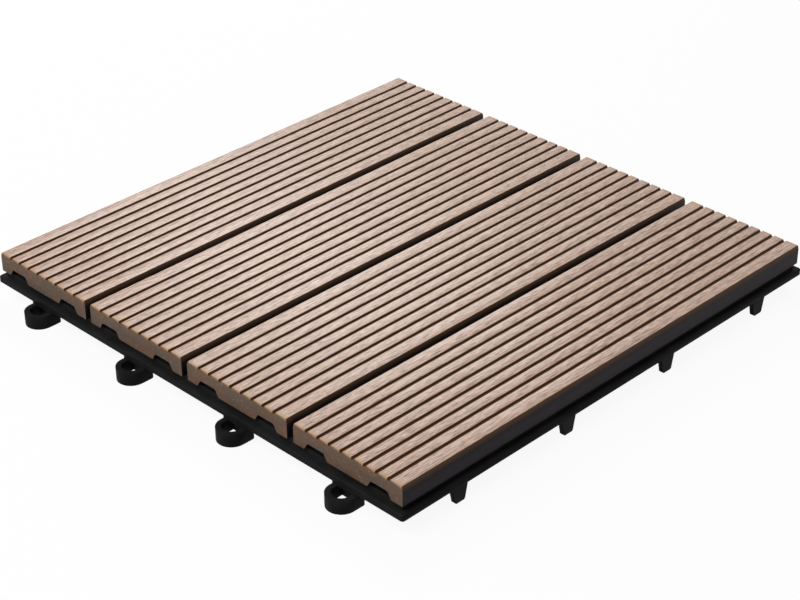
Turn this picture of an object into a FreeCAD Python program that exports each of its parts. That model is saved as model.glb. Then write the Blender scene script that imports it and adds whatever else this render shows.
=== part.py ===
import FreeCAD, Part

import math
import os

import Sketcher
from FreeCAD import Vector

# An interlocking deck tile: four ribbed wood-composite slats screwed to one moulded drain grid, whose rim
# carries ring couplings on two sides and pegs on the two sides opposite.
# Millimetres. The origin is the middle of the tile on the ground, +Z is up, the slats run along Y.

SIZES = (
    ("slat_count", 4, "slats side by side"),
    ("slat_length", 300, "slat, end to end"),
    ("slat_width", 71.7, "slat, side to side"),
    ("slat_thick", 11, "slat, seat to rib tops"),
    ("slat_gap", 4.4, "drain gap between two slats"),
    ("groove_count", 8, "grooves on one slat"),
    ("groove_pitch", 7.7, "groove to groove"),
    ("groove_mouth", 2.2, "groove width at the rib tops"),
    ("groove_floor", 1.6, "groove width at its floor"),
    ("groove_depth", 1.2, "groove below the rib tops"),
    ("edge_inset", 0.6, "long edge bevel, across"),
    ("edge_drop", 2.2, "long edge bevel, down"),
    ("end_inset", 0.4, "end bevel, along the slat"),
    ("end_drop", 0.7, "end bevel, down"),
    ("block_width", 26.2, "solid middle between the two channels, at the seat"),
    ("foot_width", 7.2, "solid foot at each long edge, at the seat"),
    ("channel_height", 3.9, "drain channel above the seat"),
    ("channel_slope", 2.3, "lean of a channel's side, over its height"),
    ("channel_round", 1.5, "radius at a channel's upper corners"),
    ("lip_round", 0.8, "radius at a channel's lower lips"),
    ("rim_over", 1.9, "rim beyond the slats"),
    ("rim_level", 8.6, "underside of the rim above the ground"),
    ("rim_thick", 3.4, "rim plate"),
    ("rim_corner", 1.5, "radius of the rim's corners"),
    ("rim_bevel", 0.5, "bevel on the rim's outer edges"),
    ("seat_level", 15.2, "slat seat above the ground"),
    ("body_inset", 3.5, "raised body behind the rim's edge"),
    ("wall_thick", 2.2, "wall of the raised body"),
    ("rib_thick", 1.8, "lattice ribs"),
    ("rib_level", 3, "underside of the lattice above the ground"),
    ("boss_radius", 6, "screw boss"),
    ("screw_level", 8, "screw seat above the ground"),
    ("screw_radius", 2, "screw shank"),
    ("screw_length", 15, "shank under the head"),
    ("screw_slack", 0.25, "boss hole around the shank"),
    ("head_radius", 4, "pan head"),
    ("head_height", 2.6, "pan head"),
    ("head_slack", 0.5, "counterbore around the head"),
    ("pilot_slack", 0.5, "pilot hole beyond the screw's end"),
    ("coupling_count", 4, "couplings along a slat"),
    ("ring_radius", 8, "round end of a ring, outside"),
    ("ring_wall", 3, "ring wall"),
    ("ring_height", 7.2, "ring, from the ground"),
    ("ring_reach", 9.8, "ring beyond the rim's edge"),
    ("ring_root", 6.4, "ring behind the rim's edge"),
    ("ring_corner", 2, "radius of the ring's inner end"),
    ("peg_shoulder", 10, "peg width under the rim"),
    ("peg_tip", 6.8, "peg width at the ground"),
    ("peg_depth", 2.6, "peg, from the rim's edge inwards"),
    ("peg_round", 1.2, "radius of a peg's lower corners"),
)

doc = FreeCAD.newDocument("deck_tile")
sheet = doc.addObject("Spreadsheet::Sheet", "sizes")
for line, (alias, value, note) in enumerate(SIZES, start=1):
    sheet.set(f"A{line}", note)
    sheet.set(f"B{line}", str(value))
    sheet.setAlias(f"B{line}", alias)
doc.recompute()

# Lengths that follow from the driving ones, as formulas on the sheet: there is a coupling and a line of
# bosses at the middle of each slat, as many along the slats, and two ribs between one line and the next
PITCH_X = "(sizes.slat_width + sizes.slat_gap)"
PITCH_Y = "((sizes.slat_length + sizes.slat_gap) / sizes.coupling_count)"
SPAN_X = f"((sizes.slat_count - 1) * {PITCH_X})"
SPAN_Y = f"((sizes.coupling_count - 1) * {PITCH_Y})"
FIRST_X = f"(-{SPAN_X} / 2)"
FIRST_Y = f"(-{SPAN_Y} / 2)"
EDGE_X = f"(({SPAN_X} + sizes.slat_width) / 2 + sizes.rim_over)"
EDGE_Y = "(sizes.slat_length / 2 + sizes.rim_over)"
TOP = "(sizes.seat_level + sizes.slat_thick)"
RIB_X = f"({PITCH_X} / 3)"
RIB_Y = f"({PITCH_Y} / 3)"
LATTICE_X = f"({SPAN_X} / 2 + {RIB_X} + sizes.rib_thick / 2)"
LATTICE_Y = f"({SPAN_Y} / 2 + {RIB_Y} + sizes.rib_thick / 2)"
NEAR = 0.01


def number(formula):
    """The value of a formula on the sheet."""
    return float(sheet.evalExpression(formula))


def plane(body, role):
    """One of a body's own origin planes or axes."""
    return next(o for o in body.Origin.OriginFeatures if o.Role == role)


def new_body(label):
    body = doc.addObject("PartDesign::Body", label)
    body.Label = label
    return body


def new_sketch(body, name, role="XY_Plane", level="0", across="0", up="0"):
    """A sketch on an origin plane, lifted along the plane's normal and shifted in the plane."""
    sketch = body.newObject("Sketcher::SketchObject", name)
    sketch.AttachmentSupport = [(plane(body, role), "")]
    sketch.MapMode = "FlatFace"
    for axis, formula in (("x", across), ("y", up), ("z", level)):
        if formula != "0":
            sketch.setExpression(f"AttachmentOffset.Base.{axis}", formula)
    return sketch


def pin(sketch, item, end, x, y):
    """Holds one end of a line or arc at a place given by two formulas."""
    for kind, axis, formula in (("DistanceX", -2, x), ("DistanceY", -1, y)):
        if formula == "0":
            sketch.addConstraint(Sketcher.Constraint("PointOnObject", item, end, axis))
            continue
        rule = Sketcher.Constraint(kind, -1, 1, item, end, number(formula))
        place = sketch.addConstraint(rule)
        sketch.setExpression(f"Constraints[{place}]", formula)


def outline(sketch, corners):
    """A closed outline. A corner is (x, y), or (x, y, radius, centre x, centre y) where an arc leaves it."""
    spots = [Vector(number(c[0]), number(c[1]), 0) for c in corners]
    items = []
    ends = []
    for here, corner in enumerate(corners):
        there = (here + 1) % len(corners)
        if len(corner) == 2:
            items.append(sketch.addGeometry(Part.LineSegment(spots[here], spots[there])))
            ends.append((1, 2))
            continue
        centre = Vector(number(corner[3]), number(corner[4]), 0)
        radius = number(corner[2])
        out = spots[here] - centre
        back = spots[there] - centre
        circle = Part.Circle(centre, Vector(0, 0, 1), radius)
        leaving = math.atan2(out.y, out.x)
        arriving = math.atan2(back.y, back.x)
        turning_left = out.cross(back).z > 0
        if turning_left:
            arc = Part.ArcOfCircle(circle, leaving, arriving)
        else:
            arc = Part.ArcOfCircle(circle, arriving, leaving)
        item = sketch.addGeometry(arc)
        items.append(item)
        ends.append((1, 2) if turning_left else (2, 1))
        rule = sketch.addConstraint(Sketcher.Constraint("Radius", item, radius))
        sketch.setExpression(f"Constraints[{rule}]", corner[2])
    for here, corner in enumerate(corners):
        before = here - 1
        pin(sketch, items[here], ends[here][0], corner[0], corner[1])
        joint = (items[before], ends[before][1], items[here], ends[here][0])
        sketch.addConstraint(Sketcher.Constraint("Coincident", *joint))


def rectangle(sketch, low_x, high_x, low_y, high_y):
    outline(sketch, [(low_x, low_y), (high_x, low_y), (high_x, high_y), (low_x, high_y)])


def centred(sketch, half_x, half_y):
    """A rectangle about the sketch's own origin."""
    rectangle(sketch, f"-{half_x}", half_x, f"-{half_y}", half_y)


def disc(sketch, radius):
    item = sketch.addGeometry(Part.Circle(Vector(0, 0, 0), Vector(0, 0, 1), number(radius)))
    rule = sketch.addConstraint(Sketcher.Constraint("Radius", item, number(radius)))
    sketch.setExpression(f"Constraints[{rule}]", radius)
    sketch.addConstraint(Sketcher.Constraint("Coincident", item, 3, -1, 1))


def feature(body, kind, name, sketch, length, symmetric=False, reverse=False):
    """A pad or a pocket of a sketch."""
    made = body.newObject(f"PartDesign::{kind}", name)
    made.Profile = sketch
    made.Refine = False
    made.setExpression("Length", length)
    if symmetric:
        made.SideType = "Symmetric"
    made.Reversed = reverse
    body.Tip = made
    return made


def turned(body, kind, name, sketch):
    """A revolution or a groove about the sketch's own upright axis."""
    made = body.newObject(f"PartDesign::{kind}", name)
    made.Profile = sketch
    made.ReferenceAxis = (sketch, ["V_Axis"])
    made.Angle = 360
    made.Refine = False
    body.Tip = made
    return made


def row(body, name, originals, role, span, count):
    """Copies of features spread evenly over a span along an axis."""
    made = body.newObject("PartDesign::LinearPattern", name)
    made.Originals = originals
    made.Direction = (plane(body, role), [""])
    made.setExpression("Length", span)
    made.setExpression("Occurrences", count)
    made.Refine = False
    body.Tip = made
    return made


def grid(body, name, originals, span_x, count_x, span_y, count_y):
    """Copies of features spread evenly over X and Y."""
    made = row(body, name, originals, "X_Axis", span_x, count_x)
    made.Direction2 = (plane(body, "Y_Axis"), [""])
    made.setExpression("Length2", span_y)
    made.setExpression("Occurrences2", count_y)
    return made


def picked(made, test):
    """The names of the edges of a feature that pass a test on their two ends."""
    names = []
    for place, edge in enumerate(made.Shape.Edges, start=1):
        if len(edge.Vertexes) == 2 and test(edge.Vertexes[0].Point, edge.Vertexes[1].Point):
            names.append(f"Edge{place}")
    return names


def rounded(body, name, base, radius, test):
    doc.recompute()
    made = body.newObject("PartDesign::Fillet", name)
    made.Base = (base, picked(base, test))
    made.setExpression("Radius", radius)
    body.Tip = made
    return made


def bevelled(body, name, base, size, test):
    doc.recompute()
    made = body.newObject("PartDesign::Chamfer", name)
    made.Base = (base, picked(base, test))
    made.setExpression("Size", size)
    body.Tip = made
    return made


def slat_section(sketch):
    """Half of a slat's section on each side of its middle: bevelled edges, feet, channels and block."""
    half = "sizes.slat_width / 2"
    shoulder = f"({half} - sizes.edge_inset)"
    seat = "sizes.seat_level"
    roof = "(sizes.seat_level + sizes.channel_height)"
    outer = f"({half} - sizes.foot_width)"
    inner = "(sizes.block_width / 2)"
    right = [
        (inner, seat),
        (f"({inner} + sizes.channel_slope)", roof),
        (f"({outer} - sizes.channel_slope)", roof),
        (outer, seat),
        (half, seat),
        (half, f"({TOP} - sizes.edge_drop)"),
        (shoulder, TOP),
    ]
    left = [(f"-({x})", z) for x, z in reversed(right)]
    outline(sketch, right + left)


def make_slat(place):
    body = new_body(f"slat_{place + 1}")
    section = new_sketch(body, f"section_{place}", "XZ_Plane")
    slat_section(section)
    blank = feature(body, "Pad", f"blank_{place}", section, "sizes.slat_length", symmetric=True)

    seat = number("sizes.seat_level")
    roof = number("sizes.seat_level + sizes.channel_height")
    side = number("sizes.slat_width / 2")

    def along_at(level):
        return lambda a, b: abs(a.z - level) < NEAR and abs(b.z - level) < NEAR and abs(a.x - b.x) < NEAR

    def lip(a, b):
        return along_at(seat)(a, b) and abs(a.x) < side - NEAR

    soft = rounded(body, f"channel_corners_{place}", blank, "sizes.channel_round", along_at(roof))
    soft = rounded(body, f"channel_lips_{place}", soft, "sizes.lip_round", lip)

    # The top edge of each end is bevelled across the whole slat
    for end, sign in (("near", "-"), ("far", "")):
        bevel = new_sketch(body, f"bevel_{end}_{place}", "YZ_Plane")
        face = f"{sign}(sizes.slat_length / 2)"
        back = f"{sign}(sizes.slat_length / 2 - sizes.end_inset)"
        past = f"{sign}(sizes.slat_length / 2 + sizes.end_inset)"
        low = f"({TOP} - sizes.end_drop)"
        high = f"({TOP} + sizes.end_drop)"
        outline(bevel, [(face, low), (back, TOP), (back, high), (past, high), (past, low)])
        feature(body, "Pocket", f"end_{end}_{place}", bevel, PITCH_X, symmetric=True)

    mouth = "(sizes.groove_mouth / 2)"
    floor = "(sizes.groove_floor / 2)"
    first = "(-(sizes.groove_count - 1) / 2 * sizes.groove_pitch)"
    groove = new_sketch(body, f"groove_{place}", "XZ_Plane", across=first)
    bed = f"({TOP} - sizes.groove_depth)"
    clear = f"({TOP} + sizes.groove_depth)"
    flare = f"({mouth} + {mouth} - {floor})"
    outline(groove, [(f"-{floor}", bed), (floor, bed), (flare, clear), (f"-{flare}", clear)])
    cut = feature(body, "Pocket", f"first_groove_{place}", groove, "2 * sizes.slat_length", symmetric=True)
    row(body, f"grooves_{place}", [cut], "X_Axis", "(sizes.groove_count - 1) * sizes.groove_pitch",
        "sizes.groove_count")

    pilot = new_sketch(body, f"pilot_{place}", "XY_Plane", level="sizes.seat_level", up=FIRST_Y)
    disc(pilot, "sizes.screw_radius")
    deep = "sizes.screw_level + sizes.screw_length - sizes.seat_level + sizes.pilot_slack"
    hole = feature(body, "Pocket", f"first_pilot_{place}", pilot, deep, reverse=True)
    row(body, f"pilots_{place}", [hole], "Y_Axis", SPAN_Y, "sizes.coupling_count")
    body.setExpression("Placement.Base.x", f"{FIRST_X} + {place} * {PITCH_X}")
    return body


def frame_of_walls(body, name, level, height, outer_x, outer_y, inner_x, inner_y):
    """A rectangular wall, open inside."""
    ring = new_sketch(body, f"{name}_outline", "XY_Plane", level=level)
    centred(ring, outer_x, outer_y)
    centred(ring, inner_x, inner_y)
    return feature(body, "Pad", name, ring, height)


def add_rim(body):
    """The plate that shows all round under the slats, and the raised wall behind its edge."""
    inner_x = f"({LATTICE_X} - sizes.rib_thick)"
    inner_y = f"({LATTICE_Y} - sizes.rib_thick)"
    rim = frame_of_walls(body, "rim", "sizes.rim_level", "sizes.rim_thick", EDGE_X, EDGE_Y, inner_x, inner_y)
    out_x = number(EDGE_X)
    out_y = number(EDGE_Y)
    level = number("sizes.rim_level + sizes.rim_thick")

    def corner(a, b):
        off = abs(abs(a.x) - out_x) + abs(abs(a.y) - out_y)
        return off < NEAR and abs(a.z - b.z) > NEAR

    def outside(a):
        return abs(abs(a.x) - out_x) < NEAR or abs(abs(a.y) - out_y) < NEAR

    def upper_edge(a, b):
        return outside(a) and outside(b) and abs(a.z - level) < NEAR and abs(b.z - level) < NEAR

    soft = rounded(body, "rim_corners", rim, "sizes.rim_corner", corner)
    bevelled(body, "rim_edge", soft, "sizes.rim_bevel", upper_edge)
    wall_x = f"({EDGE_X} - sizes.body_inset)"
    wall_y = f"({EDGE_Y} - sizes.body_inset)"
    in_x = f"({wall_x} - sizes.wall_thick)"
    in_y = f"({wall_y} - sizes.wall_thick)"
    tall = "(sizes.seat_level - sizes.rim_level)"
    frame_of_walls(body, "raised_wall", "sizes.rim_level", tall, wall_x, wall_y, in_x, in_y)


def add_rings(body, side, edge, role, span, count):
    """A row of closed rings with round outer ends, each with the neck that hangs it under the rim's edge."""
    half = "sizes.ring_radius"
    hole = "(sizes.ring_radius - sizes.ring_wall)"
    tip = f"({edge} + sizes.ring_reach)"
    hole_tip = f"({tip} - sizes.ring_wall)"
    bend = f"({tip} - sizes.ring_radius)"
    root = f"({edge} - sizes.ring_root)"
    hole_root = f"({root} + sizes.ring_wall)"
    turn = "sizes.ring_corner"
    first = f"(-{span} / 2)"
    near = side == "near"
    shift = {"across": first} if near else {"up": first}

    def laid(along, out):
        return (along, f"-{out}") if near else (f"-{out}", along)

    def corner(along, out, radius=None, middle_along=None, middle_out=None):
        if radius is None:
            return laid(along, out)
        return (*laid(along, out), radius, *laid(middle_along, middle_out))

    shape = new_sketch(body, f"{side}_ring_outline", "XY_Plane", **shift)
    inset = f"({half} - {turn})"
    outline(shape, [
        corner("0", tip, half, "0", bend),
        corner(half, bend),
        corner(half, f"({root} + {turn})", turn, inset, f"({root} + {turn})"),
        corner(inset, root),
        corner(f"-{inset}", root, turn, f"-{inset}", f"({root} + {turn})"),
        corner(f"-{half}", f"({root} + {turn})"),
        corner(f"-{half}", bend, half, "0", bend),
    ])
    outline(shape, [
        corner("0", hole_tip, hole, "0", bend),
        corner(hole, bend),
        corner(hole, hole_root),
        corner(f"-{hole}", hole_root),
        corner(f"-{hole}", bend, hole, "0", bend),
    ])
    ring = feature(body, "Pad", f"first_{side}_ring", shape, "sizes.ring_height")
    neck_outline = new_sketch(body, f"{side}_neck_outline", "XY_Plane", level="sizes.ring_height", **shift)
    outline(neck_outline, [
        corner(f"-{half}", edge), corner(half, edge), corner(half, root), corner(f"-{half}", root),
    ])
    neck = feature(body, "Pad", f"first_{side}_neck", neck_outline, "(sizes.rim_level - sizes.ring_height)")
    row(body, f"{side}_rings", [ring, neck], role, span, count)


def add_pegs(body, side, plane_role, level, role, span, count):
    """A row of tapered tongues that carry the rim's outer face down to the ground."""
    shoulder = "(sizes.peg_shoulder / 2)"
    tip = "(sizes.peg_tip / 2)"
    turn = "sizes.peg_round"
    shape = new_sketch(body, f"{side}_peg_outline", plane_role, level=level, across=f"(-{span} / 2)")
    outline(shape, [
        (f"({tip} - {turn})", "0", turn, f"({tip} - {turn})", turn),
        (tip, turn),
        (shoulder, "sizes.rim_level"),
        (f"-{shoulder}", "sizes.rim_level"),
        (f"-{tip}", turn, turn, f"-({tip} - {turn})", turn),
        (f"-({tip} - {turn})", "0"),
    ])
    peg = feature(body, "Pad", f"first_{side}_peg", shape, "sizes.peg_depth")
    row(body, f"{side}_pegs", [peg], role, span, count)


def add_bridges(body):
    """Short ribs over the rim at each coupling, from the lattice to the raised wall."""
    half = "(sizes.rib_thick / 2)"
    base = "(sizes.rim_level + sizes.rim_thick / 2)"
    tall = f"(sizes.seat_level - {base})"
    inner_x = f"({LATTICE_X} - {half})"
    inner_y = f"({LATTICE_Y} - {half})"
    outer_x = f"({EDGE_X} - sizes.body_inset - sizes.wall_thick / 2)"
    outer_y = f"({EDGE_Y} - sizes.body_inset - sizes.wall_thick / 2)"
    side = new_sketch(body, "side_bridge_outline", "XY_Plane", level=base, up=FIRST_Y)
    rectangle(side, inner_x, outer_x, f"-{half}", half)
    rectangle(side, f"-{outer_x}", f"-{inner_x}", f"-{half}", half)
    sides = feature(body, "Pad", "side_bridge", side, tall)
    row(body, "side_bridges", [sides], "Y_Axis", SPAN_Y, "sizes.coupling_count")
    end = new_sketch(body, "end_bridge_outline", "XY_Plane", level=base, across=FIRST_X)
    rectangle(end, f"-{half}", half, inner_y, outer_y)
    rectangle(end, f"-{half}", half, f"-{outer_y}", f"-{inner_y}")
    ends = feature(body, "Pad", "end_bridge", end, tall)
    row(body, "end_bridges", [ends], "X_Axis", SPAN_X, "sizes.slat_count")


def add_bosses(body):
    """The slab that the lattice is opened from, the screw bosses under it and the pad in the middle."""
    slab = new_sketch(body, "slab_outline", "XY_Plane", level="sizes.rib_level")
    centred(slab, LATTICE_X, LATTICE_Y)
    feature(body, "Pad", "slab", slab, "(sizes.seat_level - sizes.rib_level)")
    spot = new_sketch(body, "boss_outline", "XY_Plane", across=FIRST_X, up=FIRST_Y)
    disc(spot, "sizes.boss_radius")
    boss = feature(body, "Pad", "first_boss", spot, "sizes.rib_level")
    grid(body, "bosses", [boss], SPAN_X, "sizes.slat_count", SPAN_Y, "sizes.coupling_count")
    middle = new_sketch(body, "pad_outline", "XY_Plane")
    centred(middle, f"({RIB_X} / 2)", f"({RIB_Y} / 2)")
    feature(body, "Pad", "middle_pad", middle, "sizes.rib_level")

    # A stepped hole through each boss: counterbore for the head, clearance for the shank
    bore = "(sizes.head_radius + sizes.head_slack)"
    clear = "(sizes.screw_radius + sizes.screw_slack)"
    shape = new_sketch(body, "screw_hole_section", "XZ_Plane", level=f"-{FIRST_Y}", across=FIRST_X)
    outline(shape, [
        ("0", "0"),
        (bore, "0"),
        (bore, "sizes.screw_level"),
        (clear, "sizes.screw_level"),
        (clear, "sizes.seat_level"),
        ("0", "sizes.seat_level"),
    ])
    hole = turned(body, "Groove", "first_screw_hole", shape)
    grid(body, "screw_holes", [hole], SPAN_X, "sizes.slat_count", SPAN_Y, "sizes.coupling_count")


def open_cells(body):
    """The drain cells. What is left between them is the lattice, and round each boss they leave its wall."""
    deep = "(sizes.seat_level - sizes.rib_level)"
    thin = "(sizes.rib_thick / 2)"
    far_x = f"({RIB_X} - {thin})"
    far_y = f"({RIB_Y} - {thin})"
    wall = "sizes.boss_radius"
    meet = "sqrt(sizes.boss_radius ^ 2 - sizes.rib_thick ^ 2 / 4)"

    def cut(name, count_x, span_x, count_y, span_y, sketch):
        pocket = feature(body, "Pocket", f"first_{name}", sketch, deep, reverse=True)
        return grid(body, name, [pocket], span_x, count_x, span_y, count_y)

    def level_sketch(name, x, y):
        return new_sketch(body, f"{name}_outline", "XY_Plane", level="sizes.rib_level", across=x, up=y)

    around = level_sketch("boss_cells", FIRST_X, FIRST_Y)
    for side_x, side_y in (("", ""), ("-", ""), ("-", "-"), ("", "-")):
        outline(around, [
            (f"{side_x}{meet}", f"{side_y}{thin}"),
            (f"{side_x}{far_x}", f"{side_y}{thin}"),
            (f"{side_x}{far_x}", f"{side_y}{far_y}"),
            (f"{side_x}{thin}", f"{side_y}{far_y}"),
            (f"{side_x}{thin}", f"{side_y}{meet}", wall, "0", "0"),
        ])
    cut("boss_cells", "sizes.slat_count", SPAN_X, "sizes.coupling_count", SPAN_Y, around)

    beside = level_sketch("beside_cells", FIRST_X, f"({FIRST_Y} + {PITCH_Y} / 2)")
    half_y = f"({RIB_Y} / 2 - {thin})"
    rectangle(beside, thin, far_x, f"-{half_y}", half_y)
    rectangle(beside, f"-{far_x}", f"-{thin}", f"-{half_y}", half_y)
    fewer = "sizes.coupling_count - 1"
    cut("beside_cells", "sizes.slat_count", SPAN_X, fewer, f"({SPAN_Y} - {PITCH_Y})", beside)

    reach = f"({SPAN_Y} + {RIB_Y})"
    between = level_sketch("between_cells", f"({FIRST_X} + {PITCH_X} / 2)", f"(-{reach} / 2)")
    centred(between, f"({RIB_X} / 2 - {thin})", half_y)
    lattice = cut("between_cells", "sizes.slat_count - 1", f"({SPAN_X} - {PITCH_X})",
                  "3 * sizes.coupling_count - 1", reach, between)
    lattice.Refine = True


def make_base():
    body = new_body("base_grid")
    add_rim(body)
    add_rings(body, "near", EDGE_Y, "X_Axis", SPAN_X, "sizes.slat_count")
    add_rings(body, "left", EDGE_X, "Y_Axis", SPAN_Y, "sizes.coupling_count")
    right_level = f"({EDGE_X} - sizes.peg_depth)"
    add_pegs(body, "right", "YZ_Plane", right_level, "Y_Axis", SPAN_Y, "sizes.coupling_count")
    add_pegs(body, "back", "XZ_Plane", f"-{EDGE_Y}", "X_Axis", SPAN_X, "sizes.slat_count")
    add_bridges(body)
    add_bosses(body)
    open_cells(body)
    return body


def make_screws():
    """The sixteen screws, heads down in their counterbores and shanks in the slats."""
    body = new_body("slat_screws")
    body.AllowCompound = True
    crown = "(sizes.screw_level - sizes.head_height)"
    end = "(sizes.screw_level + sizes.screw_length)"
    shape = new_sketch(body, "screw_section", "XZ_Plane", level=f"-{FIRST_Y}", across=FIRST_X)
    outline(shape, [
        ("0", crown),
        ("sizes.head_radius", crown),
        ("sizes.head_radius", "sizes.screw_level"),
        ("sizes.screw_radius", "sizes.screw_level"),
        ("sizes.screw_radius", end),
        ("0", end),
    ])
    screw = turned(body, "Revolution", "first_screw", shape)
    grid(body, "screws", [screw], SPAN_X, "sizes.slat_count", SPAN_Y, "sizes.coupling_count")
    return body


pieces = [make_slat(place) for place in range(int(number("sizes.slat_count")))]
pieces.append(make_screws())
pieces.append(make_base())
doc.recompute()

for item in doc.Objects:
    if "Invalid" in item.State or "Error" in item.State:
        raise RuntimeError(f"{item.Name} did not build: {item.State}")
os.makedirs("parts", exist_ok=True)
for piece in pieces:
    if piece.Shape.isNull() or not piece.Shape.isValid():
        raise RuntimeError(f"{piece.Label} is not a valid solid")
    piece.Shape.exportStep(f"parts/{piece.Label}.step")
    print(piece.Label, len(piece.Shape.Solids), round(piece.Shape.Volume / 1000, 2), "cm3")
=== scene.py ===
"""An interlocking deck tile: brushed wood-composite slats on a black moulded drain grid."""

import math

import bmesh
import bpy
from mathutils import Matrix, Vector


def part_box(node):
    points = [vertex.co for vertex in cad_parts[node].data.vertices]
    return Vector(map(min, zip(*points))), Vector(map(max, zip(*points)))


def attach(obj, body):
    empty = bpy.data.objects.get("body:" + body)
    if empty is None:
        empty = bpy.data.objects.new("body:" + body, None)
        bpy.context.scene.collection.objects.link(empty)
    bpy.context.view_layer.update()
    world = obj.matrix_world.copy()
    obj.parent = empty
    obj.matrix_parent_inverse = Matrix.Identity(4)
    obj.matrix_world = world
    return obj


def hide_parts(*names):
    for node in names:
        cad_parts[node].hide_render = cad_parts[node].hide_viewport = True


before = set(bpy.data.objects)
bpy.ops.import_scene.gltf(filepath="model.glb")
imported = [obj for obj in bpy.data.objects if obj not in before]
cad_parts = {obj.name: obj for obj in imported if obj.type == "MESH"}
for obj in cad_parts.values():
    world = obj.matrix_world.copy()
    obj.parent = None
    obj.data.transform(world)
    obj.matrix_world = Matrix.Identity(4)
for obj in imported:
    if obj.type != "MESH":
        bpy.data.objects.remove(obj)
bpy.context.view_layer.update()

MM = 0.001
SLATS = sorted(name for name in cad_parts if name.startswith("slat_") and name != "slat_screws")
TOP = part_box(SLATS[0])[1].z
SLAT_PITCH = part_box(SLATS[1])[0].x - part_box(SLATS[0])[0].x
SLAT_HALF = (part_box(SLATS[0])[1].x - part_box(SLATS[0])[0].x) / 2
SLAT_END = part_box(SLATS[0])[1].y
GROOVE_DEPTH = 1.2 * MM

# The camera, as the photograph's perspective gives it: degrees, and metres in the tile's own frame
CAMERA_AZIMUTH = 44.955
CAMERA_ELEVATION = 31.393
CAMERA_ROLL = -0.481
CAMERA_DISTANCE = 1.0837
CAMERA_TARGET = Vector((0.02444, -0.02473, 0.0156))
CAMERA_LENS = 93.81
SENSOR_WIDTH = 36

# Small rounds that every sawn, brushed or moulded edge has. Edges of more than the sharp angle are rounded,
# and faces within the flat angle of each other are merged, both in degrees
SLAT_EDGE = 0.28 * MM
GRID_EDGE = 0.22 * MM
EDGE_SEGMENTS = 2
SHARP_ANGLE = 35
FLAT_ANGLE = 1
MERGE_DISTANCE = 0.002 * MM

# The screws: head, cross recess, shank and point. The crown's angles are in degrees
SCREW_ROWS = 4
SCREW_FACETS = 32
SCREW_HEAD_RADIUS = 4 * MM
SCREW_HEAD_HEIGHT = 2.6 * MM
CROWN_RADIUS = 1.5 * MM
CROWN_ANGLES = (0, 15, 35, 55, 75, 90)
CROSS_SPAN = 4.6 * MM
CROSS_FLOOR_SPAN = 2.2 * MM
CROSS_SLOT = 0.9 * MM
CROSS_DEPTH = 1.9 * MM
CROSS_CLEAR = 0.5 * MM
SCREW_RADIUS = 2 * MM
SCREW_ROOT = 1.45 * MM
POINT_LENGTH = 2.5 * MM
POINT_RADIUS = 0.05 * MM

# The screws' thread: its half width is a share of the pitch, and its steps are those of one turn
THREAD_PITCH = 1.6 * MM
THREAD_SINK = 0.1 * MM
THREAD_HALF_WIDTH = 0.35
THREAD_STEPS = 20

# The studio: each lamp's place, side and watts, the sky's strength as light on the tile, the share of plain
# white in the floor as it is seen, and half the floor's side in metres
FRONT_LAMP = ((-0.1, -0.9, 1.2), 0.9, 16)
BACK_LAMP = ((-0.9, 0.72, 0.88), 0.45, 8.5)
SKY_LIGHT = 0.3
FLOOR_GLOW = 0.92
FLOOR_REACH = 6


def paint(code):
    """An sRGB hex colour as linear RGBA."""
    channels = [int(code[i:i + 2], 16) / 255 for i in (1, 3, 5)]
    return tuple(c / 12.92 if c <= 0.04045 else ((c + 0.055) / 1.055) ** 2.4 for c in channels) + (1,)


def node(tree, kind, inputs=None, **settings):
    """Adds a node with its settings, and sets or links its inputs by name or number."""
    made = tree.nodes.new(kind)
    for name, value in settings.items():
        setattr(made, name, value)
    for key, value in (inputs or {}).items():
        if isinstance(value, bpy.types.NodeSocket):
            tree.links.new(value, made.inputs[key])
        else:
            made.inputs[key].default_value = value
    return made


def new_material(name):
    """An empty material with a Principled shader: (material, tree, shader)."""
    material = bpy.data.materials.new(name)
    material.use_nodes = True
    tree = material.node_tree
    return material, tree, tree.nodes["Principled BSDF"]


def stretched_noise(tree, place, size, **inputs):
    """Noise whose grains measure size = (x, y, z) millimetres."""
    scale = [1 / (grain * MM) for grain in size]
    scaled = node(tree, "ShaderNodeMapping", {"Vector": place, "Scale": scale})
    return node(tree, "ShaderNodeTexNoise", {"Vector": scaled.outputs[0], "Scale": 1, **inputs}).outputs[0]


def mask(tree, *limits, most=1.0):
    """A mask that rises smoothly to most where every value goes from its low limit to its high one."""
    share = most
    for value, low, high in limits:
        step = node(tree, "ShaderNodeMapRange", {0: value, 1: low, 2: high}, interpolation_type="SMOOTHSTEP")
        both = node(tree, "ShaderNodeMath", {0: step.outputs[0], 1: share}, operation="MULTIPLY")
        share = both.outputs[0]
    return share


def layered(tree, base, *layers):
    """A colour with others laid over it in turn, each as (mask, colour)."""
    for share, colour in layers:
        mix = node(tree, "ShaderNodeMix", {0: share, 6: base, 7: colour}, data_type="RGBA")
        base = mix.outputs[2]
    return base


def dress(tree, shader, colour, rough, bump):
    """Wires a finished pattern into the shader."""
    for socket, source in (("Base Color", colour), ("Roughness", rough), ("Normal", bump.outputs[0])):
        tree.links.new(source, shader.inputs[socket])


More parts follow.
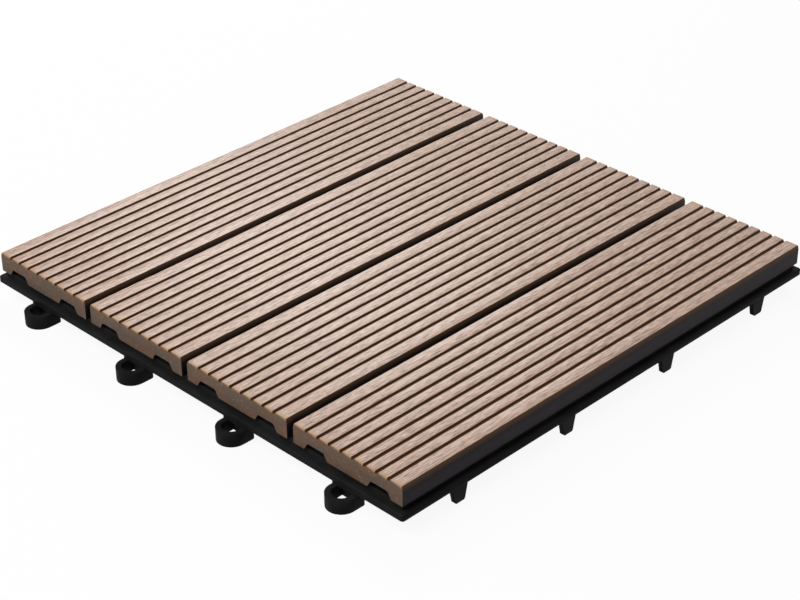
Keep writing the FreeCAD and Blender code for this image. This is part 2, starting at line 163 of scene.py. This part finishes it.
def wood_composite():
    """Extruded wood and plastic: a dark skin deepened by painted shade, paler where the ribs are brushed,
    mottled where it is sawn.
    """
    material, tree, shader = new_material("brushed_wood_composite")
    where = node(tree, "ShaderNodeTexCoord")
    place = where.outputs["Object"]
    spot = node(tree, "ShaderNodeSeparateXYZ", {0: place})
    facing = node(tree, "ShaderNodeSeparateXYZ", {0: where.outputs["Normal"]})
    height = spot.outputs["Z"]
    upward = facing.outputs["Z"]
    endwise = node(tree, "ShaderNodeMath", {0: spot.outputs["Y"]}, operation="ABSOLUTE").outputs[0]
    end_facing = node(tree, "ShaderNodeMath", {0: facing.outputs["Y"]}, operation="ABSOLUTE").outputs[0]
    bevel_tan = paint("#a5825f")

    # Across one slat: 0 at its middle, half its width at its long edges
    turn = node(tree, "ShaderNodeMath", {0: spot.outputs["X"], 1: SLAT_PITCH}, operation="FLOORED_MODULO")
    offset = node(tree, "ShaderNodeMath", {0: turn.outputs[0], 1: SLAT_PITCH / 2}, operation="SUBTRACT")
    across = node(tree, "ShaderNodeMath", {0: offset.outputs[0]}, operation="ABSOLUTE").outputs[0]

    # Brush marks run along the slat in short strokes. Real ones are 0.2 mm wide, and they are drawn 0.3 mm
    # wide so that they show. The tan drifts slowly along a rib, torn fibres show as pale specks, and the last
    # millimetres of each rib go towards the colour of the end's bevel
    fine = stretched_noise(tree, place, (0.3, 7, 0.3), Detail=3, Roughness=0.6)
    broad = stretched_noise(tree, place, (2.6, 60, 2.6), Detail=2, Roughness=0.5)
    speck = stretched_noise(tree, place, (0.36, 3.4, 0.36), Detail=2, Roughness=0.6)
    tan = layered(tree, paint("#c1a697"), (mask(tree, (broad, 0.35, 0.65)), paint("#c3a58f")))
    brushed = layered(
        tree, paint("#75584a"),
        (mask(tree, (fine, 0.34, 0.6)), tan),
        (mask(tree, (speck, 0.56, 0.74), most=0.5), paint("#e2d2c5")),
        (mask(tree, (endwise, SLAT_END - 3 * MM, SLAT_END - 1 * MM), most=0.6), bevel_tan),
    )

    # The saw leaves the ends rough, with wood flour in several browns, and paler on the bevel
    grain = stretched_noise(tree, place, (1.6, 1.6, 1.1), Detail=4, Roughness=0.65)
    patch = stretched_noise(tree, place, (9, 9, 6), Detail=2)
    sawn = layered(
        tree, paint("#615247"),
        (mask(tree, (patch, 0.35, 0.65)), paint("#6d5342")),
        (mask(tree, (grain, 0.55, 0.75), most=0.6), paint("#a08a78")),
        (mask(tree, (grain, 0.45, 0.3), most=0.5), paint("#4f3d32")),
        (mask(tree, (upward, 0.2, 0.5)), bevel_tan),
    )

    # The skin shows on the long sides, browner on their upper bevel and inside the grooves
    # Painted shade: the skin is drawn near black, darker than the real unbrushed skin,
    # so that it stands in for the shade on the long sides.
    skin_and_shade = layered(tree, paint("#100810"), (mask(tree, (fine, 0.3, 0.7)), paint("#150c13")))
    # Painted light: the upper bevel is painted paler towards the top, for the light that its rounding catches
    upper_bevel_light = mask(tree, (height, TOP - 2.8 * MM, TOP - 0.6 * MM))
    edge = layered(tree, paint("#352518"), (upper_bevel_light, paint("#513928")))
    shoulder = mask(tree, (across, SLAT_HALF - 1.2 * MM, SLAT_HALF - 0.8 * MM),
                    (height, TOP - 3.2 * MM, TOP - 2.6 * MM))
    inside = mask(tree, (across, SLAT_HALF - 0.8 * MM, SLAT_HALF - 1.2 * MM),
                  (height, TOP - 1.6 * GROOVE_DEPTH, TOP - 1.2 * GROOVE_DEPTH))
    on_rib = mask(tree, (height, TOP - 0.6 * GROOVE_DEPTH, TOP - 0.15 * GROOVE_DEPTH), (upward, 0.75, 0.97))
    at_end = mask(tree, (end_facing, 0.35, 0.6))
    surface = layered(tree, skin_and_shade, (shoulder, edge), (inside, paint("#533520")), (on_rib, brushed),
                      (at_end, sawn))

    # Brushing leaves the ribs smoother than the skin and the sawn ends
    rib_rough = node(tree, "ShaderNodeMapRange", {0: fine, 1: 0.2, 2: 0.8, 3: 0.3, 4: 0.4},
                     interpolation_type="SMOOTHSTEP").outputs[0]
    rough = node(tree, "ShaderNodeMapRange", {0: on_rib, 3: 0.65, 4: rib_rough}).outputs[0]
    relief = layered(tree, fine, (at_end, grain))
    bump = node(tree, "ShaderNodeBump", {"Strength": 0.5, "Distance": 0.06 * MM, "Height": relief})
    dress(tree, shader, surface, rough, bump)
    shader.inputs["IOR"].default_value = 1.5
    shader.inputs["Specular IOR Level"].default_value = 0.22
    return material


def polypropylene():
    """Moulded black polypropylene with recycled filler: matt, slightly cloudy, with the mould's fine grit."""
    material, tree, shader = new_material("moulded_black_polypropylene")
    place = node(tree, "ShaderNodeTexCoord").outputs["Object"]
    cloud = stretched_noise(tree, place, (14, 14, 14), Detail=3)
    # Real grit is about 0.2 mm, and it is drawn 0.7 mm so that it shows
    grit = stretched_noise(tree, place, (0.7, 0.7, 0.7), Detail=3, Roughness=0.6)
    colour = layered(tree, paint("#1b1b1c"), (mask(tree, (cloud, 0.3, 0.7)), paint("#222223")))
    rough = node(tree, "ShaderNodeMapRange", {0: cloud, 1: 0.3, 2: 0.7, 3: 0.44, 4: 0.56},
                 interpolation_type="SMOOTHSTEP").outputs[0]
    bump = node(tree, "ShaderNodeBump", {"Strength": 0.35, "Distance": 0.05 * MM, "Height": grit})
    dress(tree, shader, colour, rough, bump)
    shader.inputs["IOR"].default_value = 1.49
    shader.inputs["Specular IOR Level"].default_value = 0.02
    return material


def stainless_steel():
    """Cold-headed stainless steel: bright, with faint tool marks."""
    material, tree, shader = new_material("cold_headed_stainless_steel")
    place = node(tree, "ShaderNodeTexCoord").outputs["Object"]
    # Real marks are finer than 0.1 mm, and they are drawn 0.25 mm and wider so that they show
    marks = stretched_noise(tree, place, (0.8, 0.8, 0.25), Detail=3)
    colour = layered(tree, paint("#a9a8a4"), (mask(tree, (marks, 0.3, 0.7)), paint("#c4c2bd")))
    rough = node(tree, "ShaderNodeMapRange", {0: marks, 1: 0.3, 2: 0.7, 3: 0.24, 4: 0.36},
                 interpolation_type="SMOOTHSTEP").outputs[0]
    bump = node(tree, "ShaderNodeBump", {"Strength": 0.2, "Distance": 0.02 * MM, "Height": marks})
    dress(tree, shader, colour, rough, bump)
    shader.inputs["Metallic"].default_value = 1
    return material


def linked(name, mesh, material=None):
    """A new object of the scene, with its material."""
    made = bpy.data.objects.new(name, mesh)
    bpy.context.scene.collection.objects.link(made)
    if material:
        made.data.materials.clear()
        made.data.materials.append(material)
    return made


def meshed(form, name):
    """The bmesh as a new mesh."""
    mesh = bpy.data.meshes.new(name)
    form.to_mesh(mesh)
    form.free()
    return mesh


def baked(thing):
    """The object's evaluated form as a plain mesh, with its modifiers removed."""
    graph = bpy.context.evaluated_depsgraph_get()
    mesh = bpy.data.meshes.new_from_object(thing.evaluated_get(graph))
    thing.modifiers.clear()
    old = thing.data
    thing.data = mesh
    bpy.data.meshes.remove(old)
    return thing


def softened(source, name, width, material):
    """A copy of a CAD node with its facets merged and its sharp edges rounded."""
    form = bmesh.new()
    form.from_mesh(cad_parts[source].data)
    bmesh.ops.remove_doubles(form, verts=form.verts, dist=MERGE_DISTANCE)
    bmesh.ops.dissolve_limit(form, angle_limit=math.radians(FLAT_ANGLE), verts=form.verts, edges=form.edges)
    for face in form.faces:
        face.smooth = True
    piece = linked(name, meshed(form, name), material)
    rounding = piece.modifiers.new("rounding", "BEVEL")
    rounding.width = width
    rounding.segments = EDGE_SEGMENTS
    rounding.limit_method = "ANGLE"
    rounding.angle_limit = math.radians(SHARP_ANGLE)
    rounding.use_clamp_overlap = True
    rounding.harden_normals = True
    baked(piece)
    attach(piece, "root")
    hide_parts(source)


def lathe(form, profile, steps):
    """A closed surface turned about Z from (radius, height) points that start and end on the axis."""
    rings = []
    for radius, height in profile:
        if radius == 0:
            rings.append([form.verts.new((0, 0, height))])
            continue
        turn = [2 * math.pi * k / steps for k in range(steps)]
        rings.append([form.verts.new((radius * math.cos(a), radius * math.sin(a), height)) for a in turn])
    for low, high in zip(rings, rings[1:]):
        for k in range(steps):
            around = (k + 1) % steps
            corners = [low[k % len(low)], low[around % len(low)],
                       high[around % len(high)], high[k % len(high)]]
            form.faces.new(list(dict.fromkeys(corners)))


def screw_core(low, seat, tip):
    """The turned body of one screw: crowned head from low to seat, plain shank, point at tip."""
    form = bmesh.new()
    bend = [math.radians(angle) for angle in CROWN_ANGLES]
    profile = [(0, low)]
    profile += [(SCREW_HEAD_RADIUS - CROWN_RADIUS + CROWN_RADIUS * math.sin(a),
                 low + CROWN_RADIUS * (1 - math.cos(a))) for a in bend]
    profile += [(SCREW_HEAD_RADIUS, seat), (SCREW_ROOT, seat)]
    profile += [(SCREW_ROOT, tip - POINT_LENGTH), (0, tip)]
    lathe(form, profile, SCREW_FACETS)
    return linked("screw_core", meshed(form, "screw_core"))


def cut_cross(body, low):
    """Cuts the tapered cross recess into the head, from below."""
    form = bmesh.new()
    for turn in (0, 90):
        made = bmesh.ops.create_cube(form, size=1)["verts"]
        for vert in made:
            deep = vert.co.z > 0
            vert.co.x *= CROSS_FLOOR_SPAN if deep else CROSS_SPAN
            vert.co.y *= CROSS_SLOT
            vert.co.z = low + (CROSS_DEPTH if deep else -CROSS_CLEAR)
        bmesh.ops.rotate(form, verts=made, cent=(0, 0, 0), matrix=Matrix.Rotation(math.radians(turn), 3, "Z"))
    cross = linked("cross", meshed(form, "cross"))
    recess = body.modifiers.new("recess", "BOOLEAN")
    recess.object = cross
    recess.operation = "DIFFERENCE"
    recess.use_self = True
    baked(body)
    bpy.data.objects.remove(cross)


def add_thread(form, seat, tip):
    """One ridge that winds up the shank and runs out on the point."""
    turns = (tip - seat - POINT_LENGTH / 2) / THREAD_PITCH
    root = SCREW_ROOT - THREAD_SINK
    rows = []
    for k in range(int(turns * THREAD_STEPS) + 1):
        turn = 2 * math.pi * k / THREAD_STEPS
        height = seat + THREAD_PITCH * (0.5 + k / THREAD_STEPS)
        shrink = min(1, (tip - height) / POINT_LENGTH)
        crest = SCREW_ROOT + (SCREW_RADIUS - SCREW_ROOT) * min(1, k / THREAD_STEPS)
        row = []
        for radius, lift in ((root, -THREAD_HALF_WIDTH), (crest, 0), (root, THREAD_HALF_WIDTH)):
            reach = max(radius * shrink, POINT_RADIUS)
            row.append(form.verts.new((reach * math.cos(turn), reach * math.sin(turn),
                                       height + lift * THREAD_PITCH)))
        rows.append(row)
    for low_row, high_row in zip(rows, rows[1:]):
        for a, b in ((0, 1), (1, 2), (2, 0)):
            form.faces.new((low_row[a], high_row[a], high_row[b], low_row[b]))
    form.faces.new(rows[0])
    form.faces.new(rows[-1])


def screw_mesh(low, length):
    """One pan-head screw on the Z axis, head down at height low."""
    seat = low + SCREW_HEAD_HEIGHT
    tip = seat + length
    body = screw_core(low, seat, tip)
    cut_cross(body, low)
    form = bmesh.new()
    form.from_mesh(body.data)
    bpy.data.objects.remove(body)
    add_thread(form, seat, tip)
    bmesh.ops.recalc_face_normals(form, faces=form.faces)
    return meshed(form, "screw")


def screw_rows(name, screw, first, spacing, material):
    """Geometry nodes put one screw at each place of a square grid."""
    tree = bpy.data.node_groups.new("screw_rows", "GeometryNodeTree")
    face = tree.interface
    spread_in = face.new_socket("Spacing", in_out="INPUT", socket_type="NodeSocketFloat")
    count_in = face.new_socket("Rows", in_out="INPUT", socket_type="NodeSocketInt")
    start_in = face.new_socket("First place", in_out="INPUT", socket_type="NodeSocketVector")
    face.new_socket("Geometry", in_out="OUTPUT", socket_type="NodeSocketGeometry")
    given = node(tree, "NodeGroupInput")
    step_x = node(tree, "ShaderNodeCombineXYZ", {"X": given.outputs["Spacing"]})
    step_y = node(tree, "ShaderNodeCombineXYZ", {"Y": given.outputs["Spacing"]})
    line = node(tree, "GeometryNodeMeshLine", {"Count": given.outputs["Rows"],
                "Start Location": given.outputs["First place"], "Offset": step_x.outputs[0]})
    across = node(tree, "GeometryNodeMeshLine", {"Count": given.outputs["Rows"], "Offset": step_y.outputs[0]})
    lines = node(tree, "GeometryNodeInstanceOnPoints",
                 {"Points": line.outputs[0], "Instance": across.outputs[0]})
    places = node(tree, "GeometryNodeRealizeInstances", {0: lines.outputs[0]})
    shape = node(tree, "GeometryNodeObjectInfo", {"Object": screw})
    copies = node(tree, "GeometryNodeInstanceOnPoints",
                  {"Points": places.outputs[0], "Instance": shape.outputs["Geometry"]})
    solid = node(tree, "GeometryNodeRealizeInstances", {0: copies.outputs[0]})
    dressed = node(tree, "GeometryNodeSetMaterial", {"Geometry": solid.outputs[0], "Material": material})
    node(tree, "NodeGroupOutput", {0: dressed.outputs[0]})
    piece = linked(name, bpy.data.meshes.new(name))
    rows = piece.modifiers.new("rows", "NODES")
    rows.node_group = tree
    rows[spread_in.identifier] = spacing
    rows[count_in.identifier] = SCREW_ROWS
    rows[start_in.identifier] = first
    return baked(piece)


def make_slats(material):
    for name in SLATS:
        softened(name, f"{name}_brushed", SLAT_EDGE, material)


def make_grid(material):
    softened("base_grid", "drain_grid", GRID_EDGE, material)


def make_screws(material):
    low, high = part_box("slat_screws")
    length = high.z - low.z - SCREW_HEAD_HEIGHT
    pattern = linked("screw", screw_mesh(low.z, length))
    first = Vector((low.x + SCREW_HEAD_RADIUS, low.y + SCREW_HEAD_RADIUS, 0))
    spacing = (high.x - low.x - 2 * SCREW_HEAD_RADIUS) / (SCREW_ROWS - 1)
    piece = screw_rows("pan_head_screws", pattern, first, spacing, material)
    bpy.data.objects.remove(pattern)
    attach(piece, "root")
    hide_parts("slat_screws")


def make_camera():
    azimuth = math.radians(CAMERA_AZIMUTH)
    elevation = math.radians(CAMERA_ELEVATION)
    back = Vector((math.sin(azimuth) * math.cos(elevation), -math.cos(azimuth) * math.cos(elevation),
                   math.sin(elevation)))
    right = Vector((0, 0, 1)).cross(back).normalized()
    turned = Matrix((right, back.cross(right), back)).transposed()
    roll = Matrix.Rotation(math.radians(CAMERA_ROLL), 3, "Z")
    lens = bpy.data.cameras.new("camera")
    lens.lens = CAMERA_LENS
    lens.sensor_width = SENSOR_WIDTH
    camera = bpy.data.objects.new("camera", lens)
    place = Matrix.Translation(CAMERA_TARGET + back * CAMERA_DISTANCE)
    camera.matrix_world = place @ (turned @ roll).to_4x4()
    bpy.context.scene.collection.objects.link(camera)
    bpy.context.scene.camera = camera


def softbox(name, place, side, watts):
    """A square white lamp that looks at the tile."""
    lamp = bpy.data.lights.new(name, "AREA")
    lamp.shape = "SQUARE"
    lamp.size = side
    lamp.energy = watts
    made = bpy.data.objects.new(name, lamp)
    made.location = place
    made.rotation_euler = (-Vector(place)).to_track_quat("-Z", "Y").to_euler()
    bpy.context.scene.collection.objects.link(made)


def looked_at(tree):
    """1 for what the camera sees directly, in a reflection or through glass, 0 for light on the tile."""
    path = node(tree, "ShaderNodeLightPath")
    mirrored = node(tree, "ShaderNodeMath", {0: path.outputs["Is Glossy Ray"],
                                             1: path.outputs["Is Transmission Ray"]}, operation="MAXIMUM")
    return node(tree, "ShaderNodeMath", {0: path.outputs["Is Camera Ray"], 1: mirrored.outputs[0]},
                operation="MAXIMUM").outputs[0]


def make_sky():
    """White to what looks at it, dimmer as light on the tile."""
    world = bpy.data.worlds.new("studio")
    bpy.context.scene.world = world
    world.use_nodes = True
    tree = world.node_tree
    tree.nodes.clear()
    level = node(tree, "ShaderNodeMapRange", {0: looked_at(tree), 3: SKY_LIGHT, 4: 1.0})
    sky = node(tree, "ShaderNodeBackground", {"Color": paint("#ffffff"), "Strength": level.outputs[0]})
    node(tree, "ShaderNodeOutputWorld", {"Surface": sky.outputs[0]})


def make_floor():
    """White paper that keeps the tile's shadow."""
    form = bmesh.new()
    bmesh.ops.create_grid(form, x_segments=1, y_segments=1, size=FLOOR_REACH)
    material, tree, shader = new_material("white_paper_floor")
    # Paler where it is seen than where it throws light back, so that the sides of the tile stay dark
    seen = looked_at(tree)
    paper = layered(tree, paint("#a8a8a8"), (seen, paint("#e8e8e8")))
    tree.links.new(paper, shader.inputs["Base Color"])
    shader.inputs["Roughness"].default_value = 0.9
    glow = node(tree, "ShaderNodeEmission", {"Color": paint("#ffffff"), "Strength": 1.0})
    share = node(tree, "ShaderNodeMath", {0: seen, 1: FLOOR_GLOW}, operation="MULTIPLY")
    both = node(tree, "ShaderNodeMixShader", {0: share.outputs[0], 1: shader.outputs[0], 2: glow.outputs[0]})
    tree.links.new(both.outputs[0], tree.nodes["Material Output"].inputs["Surface"])
    linked("floor", meshed(form, "floor"), material)


def make_studio():
    """A soft lamp in front of the slats' ends, a smaller one behind that gives the sheen, sky and floor."""
    softbox("front_lamp", *FRONT_LAMP)
    softbox("back_lamp", *BACK_LAMP)
    make_sky()
    make_floor()


bpy.context.scene.view_settings.view_transform = "Standard"
make_slats(wood_composite())
make_grid(polypropylene())
make_screws(stainless_steel())
make_camera()
make_studio()
